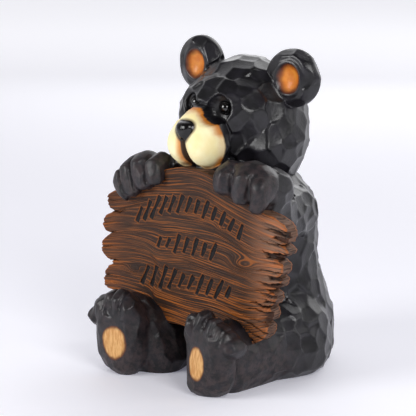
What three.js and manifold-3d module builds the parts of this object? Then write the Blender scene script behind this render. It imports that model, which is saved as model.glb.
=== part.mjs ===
// A seated black bear, cut in flat planes like a chainsaw carving, that holds a plank sign before its chest.
// Millimetres, +Z up. The bear faces -Y, its left is +X, and the origin is on the ground under its body.
import * as THREE from 'three'
import { ConvexHull } from 'three/addons/math/ConvexHull.js'
import { mergeVertices } from 'three/addons/utils/BufferGeometryUtils.js'
import Module from 'manifold-3d'

const { Vector3 } = THREE
const wasm = await Module()
wasm.setup()

// Driving sizes
const height = 350 // ground to the tips of the ears
const signWidth = 256 // across the torn ends of the plank
const signHeight = 182 // lowest to highest point of the plank
const signThickness = 19
const signBevel = 1.5 // worn edge of the plank's front and back
const signGap = 0.3 // clearance between the plank and what grips it
const splitDepth = 7 // how deep the torn ends are split, from the front
const strokeDepth = 1.6 // the cut strokes on the plank's front
const strokeWidth = 4.6
const eyeDiameter = 13.5
const eyeGap = 0.3 // clearance between an eye and its socket

// The figure's pose, proportions and carving are shares of its height: u is 1/315 of it.
const u = height / 315
const signFace = -88 * u // Y of the plank's front
const signTop = 200 * u // Z of the plank's highest point, under the chin
const toeIn = 0.21 // how far each foot turns inwards, in radians
const headTilt = 0.06 // how much the head's parts drop towards the bear's left, for each unit across

const materials = {
  coat: new THREE.MeshStandardMaterial({ color: 0x1b1a1c, roughness: 0.42, metalness: 0 }),
  plank: new THREE.MeshStandardMaterial({ color: 0x6b4026, roughness: 0.55, metalness: 0 }),
  eye: new THREE.MeshStandardMaterial({ color: 0x050505, roughness: 0.06, metalness: 0 }),
}

// Solids from geometries, and back

function solidOf(geometry) {
  const bare = geometry.clone()
  bare.deleteAttribute('normal')
  bare.deleteAttribute('uv')
  const merged = mergeVertices(bare, 1e-4)
  return new wasm.Manifold(
    new wasm.Mesh({
      numProp: 3,
      vertProperties: new Float32Array(merged.attributes.position.array),
      triVerts: new Uint32Array(merged.index.array),
    })
  )
}

function geometryOf(solid) {
  const mesh = solid.getMesh()
  const geometry = new THREE.BufferGeometry()
  geometry.setAttribute('position', new THREE.BufferAttribute(new Float32Array(mesh.vertProperties), 3))
  geometry.setIndex(new THREE.BufferAttribute(new Uint32Array(mesh.triVerts), 1))
  const flat = geometry.toNonIndexed()
  flat.computeVertexNormals()
  return flat
}

const joined = (solids) => solids.reduce((all, solid) => all.add(solid))

// Carved forms: balls wrapped in flat cuts

// A ball is an ellipsoid in figure units: its middle, its three radii and a turn about Z.
function ball(at, radii, turn = 0) {
  return { at: new Vector3(...at).multiplyScalar(u), radii: new Vector3(...radii).multiplyScalar(u), turn }
}

// How far a ball reaches along a direction, from the origin.
function reachOf({ at, radii, turn }, direction) {
  const own = direction.clone().applyAxisAngle(new Vector3(0, 0, 1), -turn)
  return direction.dot(at) + own.multiply(radii).length()
}

// A repeatable unevenness from -0.5 to 0.5.
const uneven = (i, k) => {
  const wave = Math.sin(i * 12.9898 + k * 78.233) * 43758.5453
  return wave - Math.floor(wave) - 0.5
}

// Directions spread evenly over the sphere on a spiral, each pushed aside a little as by hand.
function cutDirections(count, seed) {
  const goldenAngle = Math.PI * (3 - Math.sqrt(5))
  const spacing = Math.sqrt((4 * Math.PI) / count)
  const stray = 0.55 * spacing
  return Array.from({ length: count }, (_, i) => {
    const z = 1 - (2 * i + 1) / count
    const ring = Math.sqrt(1 - z * z)
    const angle = i * goldenAngle + seed
    return new Vector3(
      ring * Math.cos(angle) + stray * uneven(i, seed),
      ring * Math.sin(angle) + stray * uneven(i, seed + 1),
      z + stray * uneven(i, seed + 2)
    ).normalize()
  })
}

// The body left when a plane is laid against the balls in each direction and what is outside it is cut away.
// Its corners are the faces of the dual hull, and each cut is the fan of corners round its direction.
function carved(balls, cuts, seed = 1) {
  const middle = balls.reduce((sum, one) => sum.add(one.at), new Vector3()).divideScalar(balls.length)
  const directions = cutDirections(cuts, seed)
  const duals = directions.map((way) => {
    const reach = Math.max(...balls.map((one) => reachOf(one, way)))
    return way.clone().divideScalar(reach - way.dot(middle))
  })
  const cornersOf = new Map(duals.map((dual) => [dual, []]))
  const corners = []
  for (const face of new ConvexHull().setFromPoints(duals).faces) {
    const corner = { index: corners.length, at: face.normal.clone().divideScalar(face.constant).add(middle) }
    corners.push(corner)
    let edge = face.edge
    do {
      cornersOf.get(edge.head().point).push(corner)
      edge = edge.next
    } while (edge !== face.edge)
  }
  const triangles = []
  duals.forEach((dual, i) => {
    const ring = cornersOf.get(dual)
    if (ring.length < 3) return
    const centre = ring.reduce((sum, corner) => sum.add(corner.at), new Vector3()).divideScalar(ring.length)
    const across = ring[0].at.clone().sub(centre).normalize()
    const along = directions[i].clone().cross(across)
    const angleOf = ({ at }) => {
      const arm = at.clone().sub(centre)
      return Math.atan2(arm.dot(along), arm.dot(across))
    }
    ring.sort((a, b) => angleOf(a) - angleOf(b))
    for (let k = 1; k < ring.length - 1; k++) {
      triangles.push(ring[0].index, ring[k].index, ring[k + 1].index)
    }
  })
  const geometry = new THREE.BufferGeometry().setFromPoints(corners.map(({ at }) => at))
  geometry.setIndex(triangles)
  return solidOf(geometry)
}

// A smooth ellipsoid, for what is modelled round.
function rounded(at, radii, detail = 2) {
  const geometry = new THREE.IcosahedronGeometry(1, detail)
  geometry.scale(...radii.map((radius) => radius * u))
  geometry.translate(...at.map((place) => place * u))
  return solidOf(geometry)
}

// Both sides of a form made from the bear's left: the function gets a place-maker and the side's sign.
const bothSides = (make) => [1, -1].map((side) => make(([x, y, z]) => [side * x, y, z], side))

// The same on the head, which leans to its left.
const bothSidesOfHead = (make) =>
  [1, -1].map((side) => make(([x, y, z]) => [side * x, y, z - headTilt * side * x], side))

// The bear

function head() {
  const crown = ball([0, -1, 240], [60, 58, 57])
  const cheeks = ball([0, -4, 222], [65, 57, 46])
  const jaw = ball([0, 2, 202], [57, 52, 30])
  const face = [ball([0, -26, 246], [51, 44, 40]), ball([0, -20, 224], [50, 45, 34])]
  const throat = ball([0, -44, 196], [42, 33, 13])
  return joined([carved([crown, cheeks, jaw], 116, 3), carved(face, 60, 5), carved([throat], 26, 15)])
}

function ear(place, side) {
  const shell = carved([ball(place([56, -4, 285]), [26.5, 14, 26], side * 0.12)], 46, 11)
  return shell.subtract(rounded(place([57, -20, 285]), [15, 11, 16.5]))
}

function muzzle() {
  const bridge = rounded([0, -61, 240], [21.5, 30, 19.5])
  const jowls = bothSides((place) => rounded(place([12, -69, 223]), [16.5, 26.5, 22]))
  const chin = rounded([0, -58, 208], [19, 22, 12], 1)
  const nostrils = bothSides((place) => ball(place([4.8, -88, 240]), [6, 7.5, 6.3]))
  const noseTip = ball([0, -90, 231.5], [4.5, 5.5, 6])
  return joined([bridge, ...jowls, chin, carved([...nostrils, noseTip], 44, 9)])
}

function body() {
  const trunk = [ball([0, 6, 143], [72, 60, 56]), ball([0, 6, 84], [72, 60, 50])]
  const waist = ball([0, 8, 84], [75, 63, 22])
  const rump = [waist, ball([0, 12, 42], [83, 72, 50]), ball([0, 12, 20], [83, 72, 46])]
  const belly = [ball([0, -24, 112], [50, 46, 46]), ball([0, -22, 60], [56, 46, 50])]
  return joined([carved(trunk, 86, 13), carved(rump, 88, 17), carved(belly, 26, 19)])
}

function arm(place) {
  const shoulder = ball(place([53, -4, 152]), [26, 31, 28])
  const elbow = ball(place([64, -38, 155]), [21, 25, 24])
  const wrist = ball(place([69, -62, 177]), [22, 22, 22])
  return joined([carved([shoulder, elbow], 40, 23), carved([elbow, wrist], 34, 29)])
}

// Each finger is hooked over the plank: X and Z of its knuckle, X and Z of its tip, and its radius.
const fingers = [
  [46, 196, 47, 189, 11],
  [67.5, 195, 67.5, 183, 10],
  [87, 190, 86, 177, 9.5],
  [-40, 198, -37, 190, 10],
  [-60, 197, -51, 184, 9.5],
  [-77, 190, -66, 175, 9],
  [-89, 182, -78, 171, 7.5],
]

function hands() {
  const backs = [ball([67, -78, 192], [26, 19, 21]), ball([-58, -79, 190], [25, 17, 19])]
  const hooked = fingers.map(([x, z, tipX, tipZ, radius], k) => {
    const root = ball([x, -80, z + 3], [radius, 9, 13])
    const knuckle = ball([x, -91, z], [radius, 9, 12])
    const tip = ball([tipX, -93, tipZ], [0.9 * radius, 8, 8])
    return carved([root, knuckle, tip], 22, 37 + k)
  })
  return joined([...backs.map((back, k) => carved([back], 30, 31 + k)), ...hooked])
}

function leg(place, side) {
  const hip = ball(place([58, -6, 34]), [37, 44, 42])
  const knee = ball(place([54, -44, 30]), [35, 34, 37])
  const ankle = side > 0 ? ball(place([52, -97, 27]), [28, 22, 35]) : ball(place([56, -98, 31]), [31, 22, 38])
  const inner = ball(place([42, -86, 10]), [28, 24, 30])
  return joined([carved([hip, knee], 50, 41), carved([knee, ankle, inner], 50, 43)])
}

// Each toe is a rib that ends over the sole: X, Y and Z of its top, its radius and half its length.
const toes = [
  [37, -120, 75, 8, 15],
  [48, -121, 79, 8, 15],
  [61, -122, 74, 8.5, 15],
  [73, -122, 67, 8, 14],
  [82, -119, 58, 7.5, 9],
  [-44, -120, 75, 8.5, 15],
  [-56, -121, 81, 8, 15],
  [-67, -121, 79, 8, 15],
  [-78, -121, 73, 8, 14],
  [-87, -119, 60, 8, 9],
]

// The sole of a foot: a slab that is turned inwards, wide at the toes and round at the heel.
function sole(x, side) {
  const turn = -side * toeIn
  const corner = (offset, z) => {
    const at = [x + offset * Math.cos(turn), -117 + offset * Math.sin(turn), z]
    return ball(at, [14, 17, 24], turn)
  }
  const heel = ball([x, -117, 25], [27, 18, 28], turn)
  const innerHeel = ball([x - 10 * side, -119, 14], [18, 17, 18], turn)
  return carved([corner(-13, 49), corner(13, 46), heel, innerHeel], 64, 45)
}

function feet() {
  const ribs = toes.map(([x, y, top, radius, half], k) => {
    const rib = ball([x, y, top - half], [radius, 13, half])
    return carved([rib], 20, 47 + k)
  })
  return joined([sole(53, 1), sole(-56, -1), ...ribs])
}

function underGround() {
  const reach = 2 * height
  const geometry = new THREE.BoxGeometry(reach, reach, reach)
  geometry.translate(0, 0, -reach / 2)
  return solidOf(geometry)
}

// Eyes

const eyePlaces = bothSidesOfHead((place) => new Vector3(...place([17.6, -54, 256.1])).multiplyScalar(u))

// The hollow that the eye lies in, under the brow.
function eyeHollow(place) {
  return carved([ball(place([19, -66, 256]), [12.5, 14, 13.5])], 30, 7)
}

function eyeBall(radius) {
  return new THREE.SphereGeometry(radius, 14, 8)
}

function eyeSocket(middle) {
  const seat = eyeBall(eyeDiameter / 2 + eyeGap)
  seat.translate(middle.x, middle.y, middle.z)
  return solidOf(seat)
}

// The plank: an outline across its width, drawn in shares of half its width and of its height

const across = (share) => (share * signWidth) / 2
const rise = (share) => signTop - (1 - share) * signHeight

const topEdge = [
  [-0.84, 0.795],
  [-0.5, 0.915],
  [-0.17, 0.99],
  [0.02, 1],
  [0.2, 0.985],
  [0.45, 0.91],
  [0.7, 0.825],
  [0.86, 0.796],
  [0.96, 0.767],
]
const bottomEdge = [
  [0.7, 0.065],
  [0.5, 0],
  [0.2, 0.045],
  [-0.08, 0.066],
  [-0.27, 0.066],
  [-0.35, 0.082],
  [-0.4, 0.165],
  [-0.62, 0.195],
  [-0.867, 0.189],
]
// Down the right end, lobe by lobe, from notch to notch.
const rightLobes = [
  [[0.96, 0.767], [0.99, 0.74], [1, 0.7], [0.985, 0.66]],
  [[0.93, 0.65], [0.985, 0.63], [1, 0.605], [0.95, 0.58]],
  [[0.87, 0.565], [0.945, 0.54], [0.95, 0.5], [0.92, 0.475]],
  [[0.9, 0.465], [0.93, 0.45], [0.92, 0.41], [0.87, 0.395]],
  [[0.8, 0.385], [0.87, 0.365], [0.885, 0.335], [0.85, 0.3]],
  [[0.82, 0.28], [0.85, 0.26], [0.84, 0.22], [0.8, 0.2]],
  [[0.76, 0.19], [0.815, 0.165], [0.79, 0.11], [0.7, 0.065]],
]
// Up the left end.
const leftLobes = [
  [[-0.867, 0.189], [-0.945, 0.2], [-0.965, 0.26], [-0.93, 0.32], [-0.863, 0.355]],
  [[-0.87, 0.368], [-0.96, 0.395], [-0.99, 0.45], [-0.95, 0.505], [-0.841, 0.527]],
  [[-0.86, 0.54], [-0.94, 0.55], [-0.97, 0.59], [-0.94, 0.635], [-0.84, 0.665]],
  [[-0.78, 0.68], [-0.89, 0.695], [-0.915, 0.745], [-0.89, 0.78], [-0.84, 0.795]],
]
// Splits that run in from the torn ends: reach and height at the end, reach and height where each dies out.
const splits = [
  [1.06, 0.675, 0.74, 0.735],
  [1.02, 0.57, 0.7, 0.6],
  [0.98, 0.478, 0.72, 0.5],
  [1, 0.4, 0.68, 0.41],
  [0.95, 0.29, 0.64, 0.3],
  [0.92, 0.2, 0.6, 0.25],
  [0.86, 0.12, 0.56, 0.17],
  [-1.02, 0.672, -0.72, 0.69],
  [-1.02, 0.532, -0.82, 0.53],
  [-1, 0.36, -0.82, 0.362],
]

// The points of a smooth curve, without the last one, where the next curve starts.
function curveThrough(points, steps) {
  const curve = new THREE.CatmullRomCurve3(points.map(([x, z]) => new Vector3(across(x), rise(z), 0)))
  return curve.getPoints(steps).slice(0, -1)
}

function extrudedPlate(points, thickness, bevel) {
  const shape = new THREE.Shape(points.map(({ x, y }) => new THREE.Vector2(x, y)))
  const geometry = new THREE.ExtrudeGeometry(shape, {
    depth: thickness - 2 * bevel,
    bevelEnabled: bevel > 0,
    bevelThickness: bevel,
    bevelSize: bevel,
    bevelOffset: -bevel,
    bevelSegments: 1,
  })
  geometry.translate(0, 0, bevel - thickness)
  geometry.rotateX(Math.PI / 2)
  return geometry
}

function plankPoints() {
  return [
    ...curveThrough(topEdge, 20),
    ...rightLobes.flatMap((lobe) => curveThrough(lobe, 5)),
    ...curveThrough(bottomEdge, 16),
    ...leftLobes.flatMap((lobe) => curveThrough(lobe, 7)),
  ]
}

// A wedge that opens a split in the plank's front, deep at the torn end and shallow inside.
function split([fromX, fromZ, toX, toZ]) {
  const outer = new Vector3(across(fromX), 0, rise(fromZ))
  const inner = new Vector3(across(toX), 0, rise(toZ))
  const opening = 0.018 * signHeight
  const front = -1
  const corners = [
    outer.clone().add(new Vector3(0, front, opening)),
    outer.clone().add(new Vector3(0, front, -opening)),
    outer.clone().add(new Vector3(0, splitDepth, 0)),
    inner.clone().add(new Vector3(0, front, 0.3 * opening)),
    inner.clone().add(new Vector3(0, front, -0.3 * opening)),
    inner.clone().add(new Vector3(0, 0.2 * splitDepth, 0)),
  ]
  const geometry = new THREE.BufferGeometry().setFromPoints(corners)
  const sides = [0, 1, 2, 3, 5, 4, 0, 3, 4, 0, 4, 1, 1, 4, 5, 1, 5, 2, 2, 5, 3, 2, 3, 0]
  geometry.setIndex(fromX > 0 ? sides : sides.toReversed())
  geometry.translate(0, signFace, 0)
  return solidOf(geometry)
}

// Rows of slanting strokes cut into the plank: each row's middle, height, half width, sag and stroke height.
const strokeRows = [
  { middle: 0, height: 0.8, half: 0.54, sag: 0.1, tall: 0.135, count: 13 },
  { middle: -0.03, height: 0.555, half: 0.29, sag: 0.01, tall: 0.105, count: 7 },
  { middle: -0.03, height: 0.34, half: 0.45, sag: 0.005, tall: 0.125, count: 10 },
]

function strokes() {
  return strokeRows.flatMap(({ middle, height: level, half, sag, tall, count }) =>
    Array.from({ length: count }, (_, i) => {
      const share = (2 * i) / (count - 1) - 1
      const long = tall * signHeight * (0.72 + 0.5 * uneven(i, count))
      const geometry = new THREE.BoxGeometry(strokeWidth, 2 * strokeDepth, long)
      geometry.rotateY(0.42 + 0.16 * uneven(i, count + 1))
      geometry.translate(across(middle + half * share), signFace, rise(level - sag * share * share))
      return solidOf(geometry)
    })
  )
}

function plank() {
  const board = extrudedPlate(plankPoints(), signThickness, signBevel)
  board.translate(0, signFace, 0)
  return solidOf(board).subtract(joined([...splits.map(split), ...strokes()]))
}

// The room that the bear leaves for the plank: its outline without the tears, larger by the gap all round.
function plankRoom() {
  const grown = (points, lift) => points.map(({ x, y }) => new Vector3(x, y + lift, 0))
  const edge = signWidth / 2 + signGap
  const points = [
    new Vector3(-edge, rise(topEdge[0][1]) + signGap, 0),
    ...grown(curveThrough(topEdge, 20), signGap),
    new Vector3(edge, rise(topEdge.at(-1)[1]) + signGap, 0),
    new Vector3(edge, rise(0.3), 0),
    new Vector3(across(0.86), rise(0.1), 0),
    ...grown(curveThrough(bottomEdge, 16), -signGap),
    new Vector3(-edge, rise(bottomEdge.at(-1)[1]) - signGap, 0),
  ]
  const room = extrudedPlate(points, signThickness + 2 * signGap, 0)
  room.translate(0, signFace - signGap, 0)
  return solidOf(room)
}

// The object

function bear() {
  const face = head().subtract(joined(bothSidesOfHead(eyeHollow)))
  const limbs = [...bothSides(arm), hands(), ...bothSides(leg), feet()]
  const forms = [face, ...bothSidesOfHead(ear), muzzle(), body(), ...limbs]
  return joined(forms).subtract(joined([underGround(), plankRoom(), ...eyePlaces.map(eyeSocket)]))
}

function named(name, geometry, material, position) {
  const mesh = new THREE.Mesh(geometry, material)
  mesh.name = name
  if (position) mesh.position.copy(position)
  return mesh
}

const carvedBear = new THREE.Group()
carvedBear.add(
  named('bear', geometryOf(bear()), materials.coat),
  named('plank_sign', geometryOf(plank()), materials.plank),
  named('eye_left', eyeBall(eyeDiameter / 2), materials.eye, eyePlaces[0]),
  named('eye_right', eyeBall(eyeDiameter / 2), materials.eye, eyePlaces[1])
)

export default carvedBear
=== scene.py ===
import math
import bpy
import numpy as np
from mathutils import Matrix, Vector


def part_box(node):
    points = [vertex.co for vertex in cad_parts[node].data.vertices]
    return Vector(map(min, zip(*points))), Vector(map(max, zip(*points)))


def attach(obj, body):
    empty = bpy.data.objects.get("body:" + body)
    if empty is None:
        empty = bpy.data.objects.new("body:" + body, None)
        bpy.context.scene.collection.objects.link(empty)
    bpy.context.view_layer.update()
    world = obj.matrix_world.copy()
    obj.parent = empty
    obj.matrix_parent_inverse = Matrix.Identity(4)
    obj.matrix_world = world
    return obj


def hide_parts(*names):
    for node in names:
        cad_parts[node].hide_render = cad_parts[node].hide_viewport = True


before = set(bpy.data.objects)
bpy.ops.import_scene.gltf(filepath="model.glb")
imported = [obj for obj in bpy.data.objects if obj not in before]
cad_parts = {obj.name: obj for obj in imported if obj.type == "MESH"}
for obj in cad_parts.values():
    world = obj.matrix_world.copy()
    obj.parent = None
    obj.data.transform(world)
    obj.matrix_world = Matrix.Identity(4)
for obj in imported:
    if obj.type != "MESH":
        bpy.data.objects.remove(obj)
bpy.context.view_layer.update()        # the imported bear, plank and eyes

scene = bpy.context.scene
unit = 0.350 / 315       # metres in a figure unit, 315 of them from the ground to the ears
print("frame loaded")


# A repeatable unevenness from -0.5 to 0.5: the fraction of a fast wave, less a half.
def uneven(i, k):
    wave = math.sin(i * 12.9898 + k * 78.233) * 43758.5453
    return wave - math.floor(wave) - 0.5


# Rises from 0 to 1 between low and high as 3t^2 - 2t^3.
def ease(low, high, value):
    t = np.clip((value - low) / (high - low), 0, 1)
    return t * t * (3 - 2 * t)


# A mesh from points and faces of three or four corners.
def meshOf(name, points, *faceSets):
    loops = np.concatenate([faces.ravel() for faces in faceSets]).astype(np.int32)
    sizes = np.concatenate([np.full(len(faces), faces.shape[1]) for faces in faceSets])
    starts = np.concatenate([[0], np.cumsum(sizes)[:-1]]).astype(np.int32)
    mesh = bpy.data.meshes.new(name)
    mesh.vertices.add(len(points))
    mesh.vertices.foreach_set("co", np.asarray(points, np.float32).ravel())
    mesh.loops.add(len(loops))
    mesh.loops.foreach_set("vertex_index", loops)
    mesh.polygons.add(len(starts))
    mesh.polygons.foreach_set("loop_start", starts)
    mesh.polygons.foreach_set("use_smooth", np.ones(len(starts), bool))
    mesh.update(calc_edges=True)
    mesh.validate()
    return mesh


# An object for a mesh, a lamp or a lens, put in the scene.
def objectOf(data):
    piece = bpy.data.objects.new(data.name, data)
    scene.collection.objects.link(piece)
    return piece


# The mesh that an object has after one modifier, which takes its place.
def withModifier(mesh, kind, **settings):
    worker = objectOf(mesh)
    modifier = worker.modifiers.new(kind, kind)
    for key, value in settings.items():
        setattr(modifier, key, value)
    done = bpy.data.meshes.new_from_object(worker.evaluated_get(bpy.context.evaluated_depsgraph_get()))
    done.name = mesh.name
    bpy.data.objects.remove(worker)
    return done


# The rows of numbers that a mesh's points, normals or edges hold under one key.
def rowsOf(items, key, columns, kind=np.float32):
    rows = np.empty(len(items) * columns, kind)
    items.foreach_get(key, rows)
    return rows.reshape(-1, columns)


# A mesh's points, as rows of X, Y and Z.
def pointsOf(mesh):
    return rowsOf(mesh.vertices, "co", 3).astype(float)


# Gives a mesh's points new places.
def setPoints(mesh, points):
    mesh.vertices.foreach_set("co", np.asarray(points, np.float32).ravel())
    mesh.update()


# Each value goes part of the way to the mean of its neighbours', several times.
def relaxed(values, edges, times, part=0.5):
    ends = np.concatenate([edges[:, 0], edges[:, 1]])
    others = np.concatenate([edges[:, 1], edges[:, 0]])
    count = np.maximum(np.bincount(ends, minlength=len(values)), 1)
    part = np.broadcast_to(np.asarray(part, float), (len(values),))
    for _ in range(times):
        sums = np.stack([np.bincount(ends, column[others], len(values)) for column in values.T], 1)
        values = values + part[:, None] * (sums / count[:, None] - values)
    return values


# Gives each point a number by name, which the paint reads.
def setNumbers(mesh, name, values):
    layer = mesh.attributes.new(name, "FLOAT", "POINT")
    layer.data.foreach_set("value", np.asarray(values, np.float32))


bear = {
    "headTilt": 0.06,  # how much the head's parts drop towards its left, for each unit across
    "toeIn": 0.21,  # how far each foot turns inwards
    "grid": (44, 80),  # rows and columns of a form's skin
    "voxel": 0.00138,
    "triangles": 192000,
    "softness": 1.5,  # how softly the balls of a form flow together, in figure units
    "blend": 5,  # smoothing steps over the joins of the forms
    "lidHeight": 0.9, "lidAway": 1.5, "lidWidth": 1.1,  # eyelid rings, in figure units from the bead
}


# A ball is an ellipsoid in figure units: its middle, its three radii and a turn about Z.
def ball(at, radii, turn=0.0):
    return np.array(at, float), np.array(radii, float), turn


# Points turned about Z: (c x - s y, s x + c y, z).
def turned(points, angle):
    c, s = math.cos(angle), math.sin(angle)
    x, y, z = points.T
    return np.stack([c * x - s * y, s * x + c * y, z], -1)


# Quads of a grid of points that wraps round in its columns.
def roundQuads(index):
    right = np.roll(index, -1, axis=1)
    return np.stack([index[:-1], index[1:], right[1:], right[:-1]], -1).reshape(-1, 4)


# The faces of a round grid, closed by fans to one more point past each end.
def roundGridFaces(rows, columns):
    index = np.arange(rows * columns).reshape(rows, columns)
    right = np.roll(index, -1, axis=1)
    top, bottom = rows * columns, rows * columns + 1
    fans = np.concatenate([
        np.stack([np.full(columns, top), index[0], right[0]], -1),
        np.stack([np.full(columns, bottom), right[-1], index[-1]], -1),
    ])
    return roundQuads(index), fans


# Directions over the sphere: (sin p cos q, sin p sin q, cos p) on a grid of p and q, and the two poles.
def directionGrid(rows, columns):
    polar = np.linspace(0, math.pi, rows + 2)[1:-1][:, None]
    turn = (np.arange(columns) * 2 * math.pi / columns)[None, :]
    level = np.sin(polar)
    ways = np.stack([level * np.cos(turn), level * np.sin(turn), np.cos(polar) + 0 * turn], -1)
    return np.concatenate([ways.reshape(-1, 3), [[0, 0, 1], [0, 0, -1]]])


# The skin round several balls. Along each direction n a ball's farthest point is c + r^2 n / |r n|, and
# the skin's point is the mean of the balls' farthest points, weighted by exp(reach / softness).
def skinOf(balls):
    ways = directionGrid(*bear["grid"])
    far, reach = [], []
    for at, radii, turn in balls:
        own = turned(ways, -turn)
        tip = radii ** 2 * own / np.linalg.norm(radii * own, axis=1)[:, None]
        tip = turned(tip, turn) + at
        far.append(tip)
        reach.append((tip * ways).sum(1))
    far, reach = np.stack(far), np.stack(reach)
    weight = np.exp((reach - reach.max(0)) / bear["softness"])
    return (far * weight[..., None]).sum(0) / weight.sum(0)[:, None] * unit


# Both sides of a form made from the bear's left: the maker gets a place-maker and the side's sign.
def bothSides(maker, tilt=0.0):
    sides = [maker(lambda p, s=side: [s * p[0], p[1], p[2] - tilt * s * p[0]], side) for side in (1, -1)]
    return [form for forms in sides for form in forms]


crown = ball([0, -1, 240], [60, 58, 58])


# Crown, cheeks and jaw in one, then the face, throat, muzzle's root, a fill at the breast, and the ears.
def headForms():
    def ear(place, side):
        return [[ball(place([56 + 2.2 * side, -4, 285]), [26.5, 14, 26], side * 0.12)]]
    lump = [crown, ball([0, -4, 222], [65, 57, 46]), ball([0, 2, 202], [54.5, 50, 30])]
    face = [ball([0, -26, 246], [51, 44, 40]), ball([0, -20, 224], [50, 45, 34])]
    throat = [ball([0, -44, 196], [42, 33, 13])]
    root = [ball([0, -52, 252], [13, 18, 13])]
    breast = [ball([-25, -60, 199], [17, 20, 14])]
    return [lump, face, throat, root, breast] + bothSides(ear, bear["headTilt"])


# The muzzle's bridge, two jowls and chin, and the nose's two wings, tip and foot.
muzzleBalls = [
    ball([0, -63, 239.5], [24.5, 29.5, 18.5]),
    ball([11.5, -70.5, 222.5], [16.5, 26.5, 22]), ball([-12.5, -70.5, 222.5], [16.5, 26.5, 22]),
    ball([0, -58, 208], [19, 22, 12]),
]
noseBalls = [
    ball([4.8, -92, 239.5], [5.4, 6.5, 5.6]), ball([-4.8, -92, 239.5], [5.4, 6.5, 5.6]),
    ball([0, -93.5, 239], [5.6, 6, 5.4]), ball([2.2, -93.5, 235.5], [5.2, 5.6, 5.6]),
    ball([-2.2, -93.5, 235.5], [5.2, 5.6, 5.6]), ball([0, -94, 231.5], [3.8, 5, 5.6]),
]


# The trunk, the rump and the belly.
def bodyForms():
    return [
        [ball([0, 6, 143], [68.5, 57.5, 56]), ball([0, 6, 84], [70, 59, 50])],
        [ball([0, 7, 95], [70, 59, 34]), ball([0, 12, 42], [83, 72, 50]), ball([0, 12, 20], [83, 72, 46])],
        [ball([0, -24, 112], [50, 46, 46]), ball([0, -22, 60], [56, 46, 50])],
    ]


# Each arm: from the shoulder to the elbow, and on to the wrist.
def armForms():
    def arm(place, side):
        shoulder = ball(place([53, -4, 152]), [26, 31, 28])
        elbow = ball(place([64, -38, 155]), [21, 25, 24])
        wrist = ball(place([69, -62, 177]), [22, 22, 22])
        return [[shoulder, elbow], [elbow, wrist]]
    return bothSides(arm)


# Each finger: X and Z of its knuckle, X and Z of its tip, and its radius.
fingers = [
    [46, 196, 47, 189, 11], [67.5, 195, 67.5, 183, 10], [87, 190, 86, 177, 9.5],
    [-40, 195, -37, 188, 10], [-59, 194, -51, 182, 9.5], [-73, 188, -64, 174, 9], [-82, 180, -74, 170, 7.5],
]


# The backs of the hands, and fingers that run forward over the plank's edge and down its front.
def handForms():
    backs = [
        [ball([67, -78, 192], [26, 19, 21]), ball([76, -60, 184], [19, 20, 21])],
        [ball([-58, -79, 190], [25, 17, 19])],
    ]
    hooked = []
    for x, z, tipX, tipZ, r in fingers:
        hooked.append([ball([x, -80, z + 3], [r, 9, 13]), ball([x, -91, z], [r, 9, 12]),
                       ball([tipX, -93, tipZ], [0.9 * r, 8, 8])])
    return backs + hooked


# Each leg: from the hip to the knee, and on to the ankle and the inside of the shin.
def legForms():
    def leg(place, side):
        hip = [ball(place([58, -6, 34]), [37, 44, 42]), ball(place([60, -10, 20]), [37.5, 46, 30])]
        knee = ball(place([54, -44, 30]), [35, 34, 37])
        inner = ball(place([42, -86, 10]), [28, 24, 30])
        ankle = ball(place([56, -98, 31]), [31, 22, 38])
        if side > 0:
            ankle = ball(place([52, -97, 27]), [28, 22, 35])
        return [hip + [knee], [knee, ankle, inner]]
    return bothSides(leg)


# Each toe: X, Y and Z of its top, its radius and half its length.
toes = [
    [37, -120, 75, 9, 15], [48, -120, 79, 9, 16], [61, -121, 74, 9.5, 16], [73, -121, 67, 9, 15],
    [82, -119, 58, 8, 9], [-44, -120, 75, 9.5, 15], [-56, -120, 81, 9.5, 16], [-67, -120, 79, 9.5, 16],
    [-78, -120, 73, 9.5, 15], [-87, -119, 60, 8, 9],
]


# The feet: toes, blocks behind them, and soles that are turned in, with two upper corners and a heel each.
def footForms():
    forms = [[ball([x, y, top - half], [r, 13, half])] for x, y, top, r, half in toes]
    forms += [[ball([-53, -116, 64], [13, 12, 14]), ball([-77, -115, 58], [12, 12, 14])],
              [ball([45, -116, 60], [13, 12, 14]), ball([72, -115, 50], [12, 12, 14])],
              [ball([-58, -99, 52], [24, 14, 21])]]
    for x, side in ((53.5, 1), (-57.5, -1)):
        turn = -side * bear["toeIn"]
        corners = [ball([x + o * math.cos(turn), -117 + o * math.sin(turn), z], [14, 17, 24], turn)
                   for o, z in ((-13, 49), (13, 46))]
        heel = ball([x, -117, 25], [27, 18, 28], turn)
        innerHeel = ball([x - 6 * side, -119, 14], [18, 17, 18], turn)
        forms.append(corners + [heel, innerHeel])
    return forms


# Signed distance to an ellipsoid, near enough close to its skin: |p| (1 - 1 / |p / r|).
def ballGap(points, at, radii, turn=0.0):
    own = turned(points / unit - at, -turn)
    share = np.maximum(np.linalg.norm(own / radii, axis=1), 1e-4)
    return np.linalg.norm(own, axis=1) * (1 - 1 / share)


# The smooth least of several distances: -k log of the sum of exp(-d / k).
def softLeast(gaps, k):
    return -k * np.log(sum(np.exp(-np.clip(gap, -60, 60) / k) for gap in gaps))


# Points inside a ball are pushed back to its far skin, along +Y: y = cy + ry sqrt(1 - a^2 - b^2).
def hollowed(points, at, radii):
    own = points / unit - at
    inside = 1 - (own[:, 0] / radii[0]) ** 2 - (own[:, 2] / radii[2]) ** 2
    floor = (at[1] + radii[1] * np.sqrt(np.maximum(inside, 0))) * unit
    deeper = (inside > 0) & (np.abs(own[:, 1]) < 2 * radii[1]) & (points[:, 1] < floor)
    points = points.copy()
    points[deeper, 1] = floor[deeper]
    return points


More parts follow.
